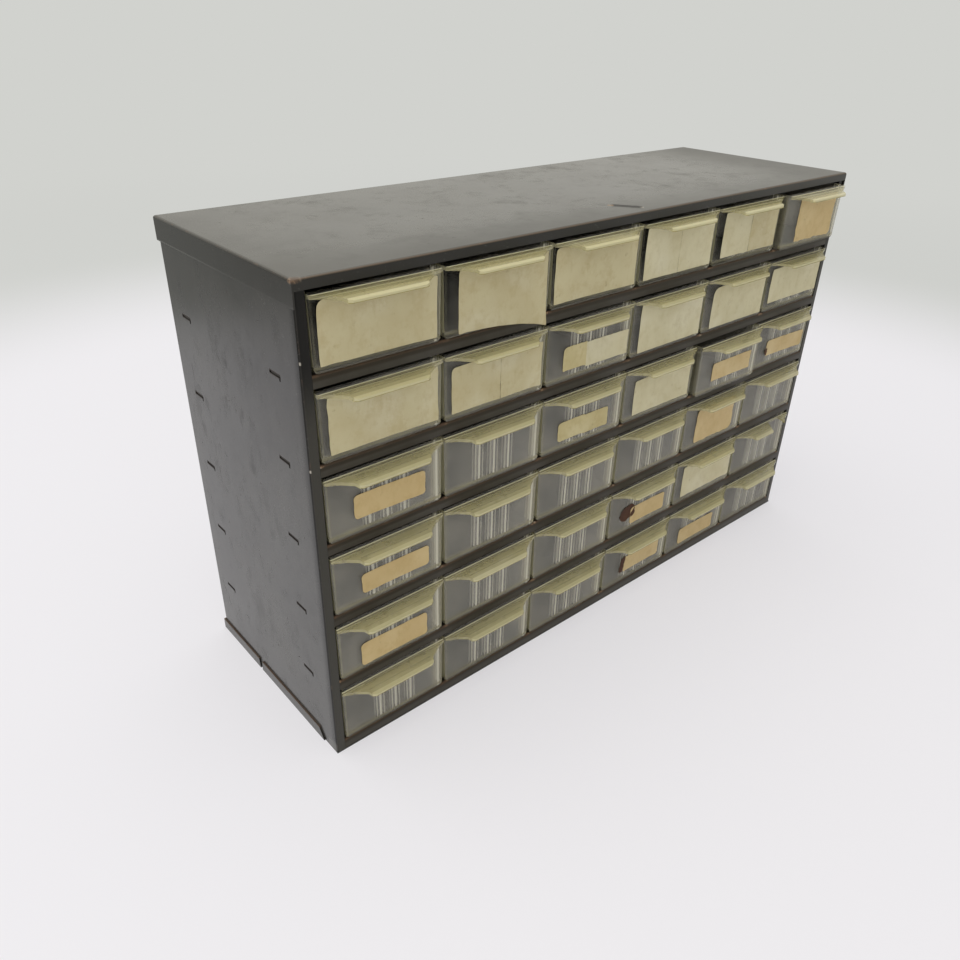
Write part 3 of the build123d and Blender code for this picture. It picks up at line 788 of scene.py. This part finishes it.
# Row 3
label("r3_c1", TAPE, -20.0, 24.7, 8.6, 22.7, tilt=-0.6, corners=ROUND)
label("r3_c3", BUFF, -22.0, 1.4, 6.1, 18.8, corners=(2.2, 0.3, 0.3, 2.2), part="_left")
label("r3_c3", BUFF, 1.0, 22.6, 5.6, 18.2, corners=(0.3, 1.4, 1.4, 0.3), part="_right")
label("r3_c4", PALE, -25.9, 33.0, 3.6, 28.0, corners=(1.2, 0.5, 0.5, 0.5))
label("r3_c5", TAPE, -19.3, 27.2, 8.2, 21.5, corners=(1.5, 0.6, 1.2, 0.6))
label("r3_c6", TAPE, -18.6, 32.5, 7.6, 19.9, tilt=-1.5, corners=ROUND)
label("r3_c6", RESIDUE, -20.2, -17.4, 9.6, 14.6, corners=(1.4, 0.5, 0.5, 0.8), ragged=0.6, part="_residue")
# Row 4
label("r4_c1", TAPE, -18.2, 26.4, 6.8, 19.4, tilt=0.4, corners=ROUND)
label("r4_c5", TAPE, -21.8, 24.6, 3.8, 30.6, corners=(3.0, 1.0, 5.0, 0.8), curls=(0.8, 0.2, 0.8, 0.3),
      ragged=1.3)
# Row 5
label("r5_c1", TAPE, -21.5, 24.4, 2.8, 18.4, corners=ROUND)
label("r5_c4", TAPE, -13.0, 25.0, 4.6, 18.4, corners=ROUND)
label("r5_c4", RESIDUE, -24.4, -8.6, 10.2, 21.4, tilt=14.0, corners=(5.4, 5.2, 4.0, 5.2), ragged=0.9,
      part="_residue")
label("r5_c5", PALE, -27.3, 34.2, 4.6, 30.6, corners=(1.0, 0.5, 0.5, 0.5))
# Row 6
label("r6_c4", TAPE, -13.6, 26.8, 7.8, 20.9, corners=ROUND)
label("r6_c4", RESIDUE, -17.0, -12.6, 8.4, 21.8, tilt=-12.0, corners=(2.0, 1.5, 0.5, 1.5), ragged=0.9,
      part="_residue")
label("r6_c5", TAPE, -20.5, 23.9, 4.1, 17.8, corners=ROUND)


def seen_ray(tree):
    """1 for the rays that show a background: to the camera, off a gloss or through a clear thing."""
    path = tree.nodes.new("ShaderNodeLightPath")
    result = path.outputs["Is Camera Ray"]
    for other in ("Is Glossy Ray", "Is Transmission Ray"):
        node = tree.nodes.new("ShaderNodeMath")
        node.operation = "MAXIMUM"
        tree.links.new(result, node.inputs[0])
        tree.links.new(path.outputs[other], node.inputs[1])
        result = node.outputs[0]
    return result


def glossy_ray(tree):
    """1 for the rays that a glossy surface sends out."""
    return tree.nodes.new("ShaderNodeLightPath").outputs["Is Glossy Ray"]


WALL_IN_GLOSS = srgb(172, 173, 168)
FLOOR_TONE = srgb(237, 235, 237)
FAR_TONE = srgb(209, 210, 206)
FAR_IN_GLOSS = srgb(221, 219, 211)


def stage_floor():
    """A wide pale floor that greys a little with distance. Part of its tone shows unshaded, which keeps
    the shadow soft."""
    size = FLOOR_HALF_SIZE
    corners = [(-size, -size, 0), (size, -size, 0), (size, size, 0), (-size, size, 0)]
    mesh = bpy.data.meshes.new("floor")
    mesh.from_pydata(corners, [], [(0, 1, 2, 3)])
    ground = Graph("floor_white")
    square = ground.plus(ground.times(ground.x, ground.x), ground.times(ground.y, ground.y))
    distance = ground.math("SQRT", square)
    tone = ground.mix(ground.ramp(distance, 0.62, 1.1), FLOOR_TONE, FAR_TONE)
    beyond = ground.plus(ground.times(ground.x, WALL_DIRECTION[0]), ground.times(ground.y, WALL_DIRECTION[1]))
    beyond = ground.times(ground.ramp(beyond, WALL_START, WALL_END), glossy_ray(ground.tree))
    tone = ground.mix(beyond, tone, WALL_IN_GLOSS)
    ground.set(base_color=tone, roughness=0.8, specular_ior_level=0.1)
    plain = ground.tree.nodes.new("ShaderNodeEmission")
    ground.put(plain.inputs["Color"], tone)
    blend = ground.tree.nodes.new("ShaderNodeMixShader")
    share = ground.between(ground.ramp(distance, 0.7, 2.0), 0.6, 1.0)
    ground.put(blend.inputs[0], ground.times(seen_ray(ground.tree), share))
    ground.put(blend.inputs[1], ground.shader.outputs[0])
    ground.put(blend.inputs[2], plain.outputs[0])
    ground.put(ground.tree.nodes["Material Output"].inputs["Surface"], blend.outputs[0])
    mesh.materials.append(ground.material)
    floor = bpy.data.objects.new("floor", mesh)
    bpy.context.scene.collection.objects.link(floor)


def studio_light():
    """An even pale world, which shows as a wall, and two soft lamps."""
    world = bpy.data.worlds.new("studio")
    world.use_nodes = True
    tree = world.node_tree
    light = tree.nodes["Background"]
    light.inputs["Color"].default_value = WORLD_TINT
    light.inputs["Strength"].default_value = WORLD_STRENGTH
    wall = tree.nodes.new("ShaderNodeBackground")
    tone = tree.nodes.new("ShaderNodeMix")
    tone.data_type = "RGBA"
    tone.inputs[6].default_value = FAR_TONE
    tone.inputs[7].default_value = FAR_IN_GLOSS
    tree.links.new(glossy_ray(tree), tone.inputs[0])
    tree.links.new(tone.outputs[2], wall.inputs["Color"])
    blend = tree.nodes.new("ShaderNodeMixShader")
    tree.links.new(seen_ray(tree), blend.inputs[0])
    tree.links.new(light.outputs[0], blend.inputs[1])
    tree.links.new(wall.outputs[0], blend.inputs[2])
    tree.links.new(blend.outputs[0], tree.nodes["World Output"].inputs["Surface"])
    bpy.context.scene.world = world
    for name, place, size, power in LAMPS:
        lamp = bpy.data.lights.new(name, "AREA")
        lamp.size = size
        lamp.energy = power
        holder = bpy.data.objects.new(name, lamp)
        holder.location = place
        holder.rotation_euler = (Vector(LAMP_AIM) - Vector(place)).to_track_quat("-Z", "Y").to_euler()
        bpy.context.scene.collection.objects.link(holder)


def photo_camera():
    """The camera where the photograph was taken from, with its small roll."""
    azimuth, elevation, roll = (math.radians(a) for a in (CAMERA_AZIMUTH, CAMERA_ELEVATION, CAMERA_ROLL))
    back = Vector((math.sin(azimuth) * math.cos(elevation),
                   -math.cos(azimuth) * math.cos(elevation), math.sin(elevation)))
    level = (-back).cross(Vector((0, 0, 1))).normalized()
    rise = level.cross(-back)
    right = level * math.cos(roll) + rise * math.sin(roll)
    up = rise * math.cos(roll) - level * math.sin(roll)
    camera = bpy.data.cameras.new("camera")
    camera.lens = CAMERA_LENS
    camera.sensor_width = CAMERA_SENSOR
    camera.clip_start = CAMERA_CLIP_START
    holder = bpy.data.objects.new("camera", camera)
    turn = Matrix((right, up, back)).transposed()
    holder.matrix_world = Matrix.Translation(CAMERA_PLACE) @ turn.to_4x4()
    bpy.context.scene.collection.objects.link(holder)
    bpy.context.scene.camera = holder


stage_floor()
studio_light()
photo_camera()
bpy.context.scene.view_settings.view_transform = "Standard"

bpy.context.view_layer.update()
